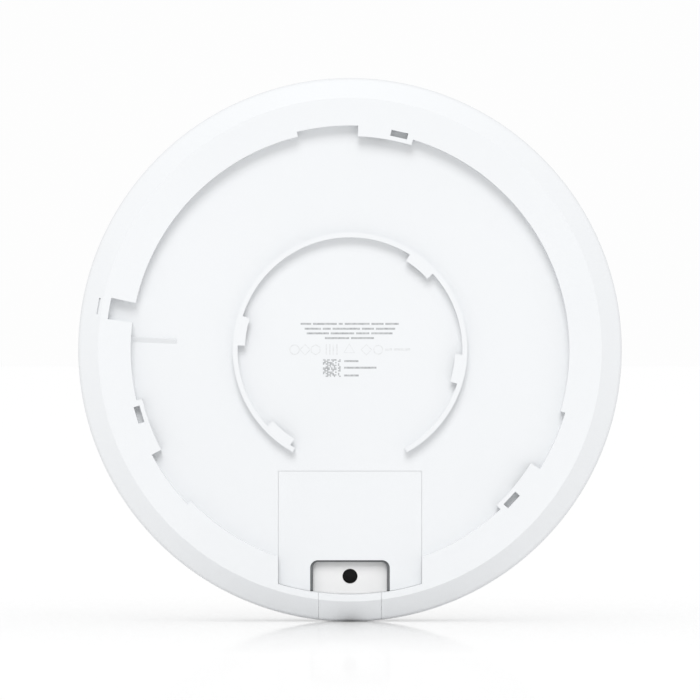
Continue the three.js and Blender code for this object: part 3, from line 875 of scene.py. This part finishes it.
# ---------------------------------------------------------------- stage, light and camera, in metres
FLOOR_Z = cad_box[0].z
FLOOR_SIZE = 30
FLOOR_WHITE = 0.92
FLOOR_GLOW = 0.34  # share of the floor's look that shadows don't reach
MIRROR_ROUGHNESS = 0.06
MIRROR_NEAR = 0.45  # share of the mirror image, at the unit's foot and at MIRROR_REACH from it
MIRROR_FAR = 0.05
MIRROR_REACH = 0.22
# the floor's bounce colour is painted darker inside BOUNCE_REACH: painted shade at the unit's foot
FLOOR_BOUNCE = 0.95  # share of its light that the floor throws back, from BOUNCE_REACH outwards
BOUNCE_REACH = 0.007
BACKDROP = 0.985  # how bright the surroundings and the floor's glow look
SURROUND_LIGHT = 0.69  # how much the surroundings light
RIM_SHARE = 0.7743  # of the picture's width, taken up by the rim
CAMERA_DISTANCE = 2.0
CAMERA_HEIGHT = -0.0001
SENSOR_WIDTH = 36
FAR_END = 200


def make_floor():
    """A white floor with a faint mirror image. Its colour for bounced light is painted dark close to the
    unit's foot, as a painted contact shadow.
    """
    bm = bmesh.new()
    bmesh.ops.create_grid(bm, x_segments=1, y_segments=1, size=FLOOR_SIZE)
    bmesh.ops.translate(bm, verts=bm.verts, vec=(0, 0, FLOOR_Z))
    floor = linked("floor", bm)
    material = bpy.data.materials.new("floor_white")
    material.use_nodes = True
    material.cycles.emission_sampling = "NONE"
    tree = material.node_tree
    tree.nodes.remove(tree.nodes["Principled BSDF"])

    def shader(kind, grey):
        node = tree.nodes.new(kind)
        node.inputs["Color"].default_value = (grey, grey, grey, 1)
        return node

    def mixed(first, second, share):
        node = tree.nodes.new("ShaderNodeMixShader")
        tree.links.new(first.outputs[0], node.inputs[1])
        tree.links.new(second.outputs[0], node.inputs[2])
        if isinstance(share, float):
            node.inputs[0].default_value = share
        else:
            tree.links.new(share, node.inputs[0])
        return node

    away = tree.nodes.new("ShaderNodeVectorMath")
    away.operation = "DISTANCE"
    away.inputs[1].default_value = (0, 0, FLOOR_Z)
    tree.links.new(tree.nodes.new("ShaderNodeTexCoord").outputs["Object"], away.inputs[0])

    def faded(near, far, reach):
        """Goes from near at the unit's foot to far at a distance of reach."""
        node = tree.nodes.new("ShaderNodeMapRange")
        node.inputs["From Max"].default_value = reach
        node.inputs["To Min"].default_value = near
        node.inputs["To Max"].default_value = far
        tree.links.new(away.outputs["Value"], node.inputs["Value"])
        return node.outputs["Result"]

    matt = shader("ShaderNodeBsdfDiffuse", FLOOR_WHITE)
    glow = shader("ShaderNodeEmission", BACKDROP)
    gloss = shader("ShaderNodeBsdfAnisotropic", 1.0)
    gloss.inputs["Roughness"].default_value = MIRROR_ROUGHNESS
    seen = mixed(mixed(matt, glow, FLOOR_GLOW), gloss, faded(MIRROR_NEAR, MIRROR_FAR, MIRROR_REACH))
    # painted shade: the colour that bounced light sees goes from black at the unit's foot to FLOOR_BOUNCE
    # at BOUNCE_REACH, a painted contact shadow
    bounce = tree.nodes.new("ShaderNodeBsdfDiffuse")
    tree.links.new(faded(0.0, FLOOR_BOUNCE, BOUNCE_REACH), bounce.inputs["Color"])
    path = tree.nodes.new("ShaderNodeLightPath")
    whole = mixed(seen, bounce, path.outputs["Is Diffuse Ray"])
    tree.links.new(whole.outputs[0], tree.nodes["Material Output"].inputs["Surface"])
    floor.data.materials.append(material)
    return floor


def make_world():
    """White where it is seen or mirrored, and softer where it only lights."""
    world = bpy.data.worlds.new("studio")
    bpy.context.scene.world = world
    world.use_nodes = True
    tree = world.node_tree
    background = tree.nodes["Background"]
    path = tree.nodes.new("ShaderNodeLightPath")
    strength = tree.nodes.new("ShaderNodeMapRange")
    strength.inputs["To Min"].default_value = BACKDROP
    strength.inputs["To Max"].default_value = SURROUND_LIGHT
    tree.links.new(path.outputs["Is Diffuse Ray"], strength.inputs["Value"])
    tree.links.new(strength.outputs["Result"], background.inputs["Strength"])
    background.inputs["Color"].default_value = (1, 1, 1, 1)


def make_sun(name, energy, angle, towards, floor, floor_state):
    """A sun that leaves out the floor, or lights nothing else, so that no long shadow crosses the floor."""
    light = bpy.data.lights.new(name, "SUN")
    light.energy = energy
    light.angle = math.radians(angle)
    sun = bpy.data.objects.new(name, light)
    bpy.context.scene.collection.objects.link(sun)
    sun.rotation_euler = Vector(towards).to_track_quat("Z", "Y").to_euler()
    receivers = bpy.data.collections.new(name + "_receivers")
    receivers.objects.link(floor)
    receivers.collection_objects[0].light_linking.link_state = floor_state
    sun.light_linking.receiver_collection = receivers


def make_lights(floor):
    height = math.radians(43)
    towards_key = (-0.04, -math.cos(height), math.sin(height))
    make_sun("key", energy=1.53, angle=32, towards=towards_key, floor=floor, floor_state="EXCLUDE")
    make_sun("overhead", energy=1.30, angle=100, towards=(0, 0, 1), floor=floor, floor_state="INCLUDE")


def make_camera():
    """Straight on to the back."""
    camera = bpy.data.cameras.new("camera")
    camera.sensor_width = SENSOR_WIDTH
    rim_y = (RECESS_FLOOR - WIDEST_Z) * MM
    camera.lens = SENSOR_WIDTH * RIM_SHARE * (CAMERA_DISTANCE + rim_y) / (2 * WIDEST_R * MM)
    camera.clip_end = FAR_END
    obj = bpy.data.objects.new("camera", camera)
    obj.location = (0, -CAMERA_DISTANCE, CAMERA_HEIGHT)
    obj.rotation_euler = (math.radians(90), 0, 0)
    bpy.context.scene.collection.objects.link(obj)
    bpy.context.scene.camera = obj


make_lights(make_floor())
make_world()
make_camera()
bpy.context.scene.view_settings.view_transform = "Standard"
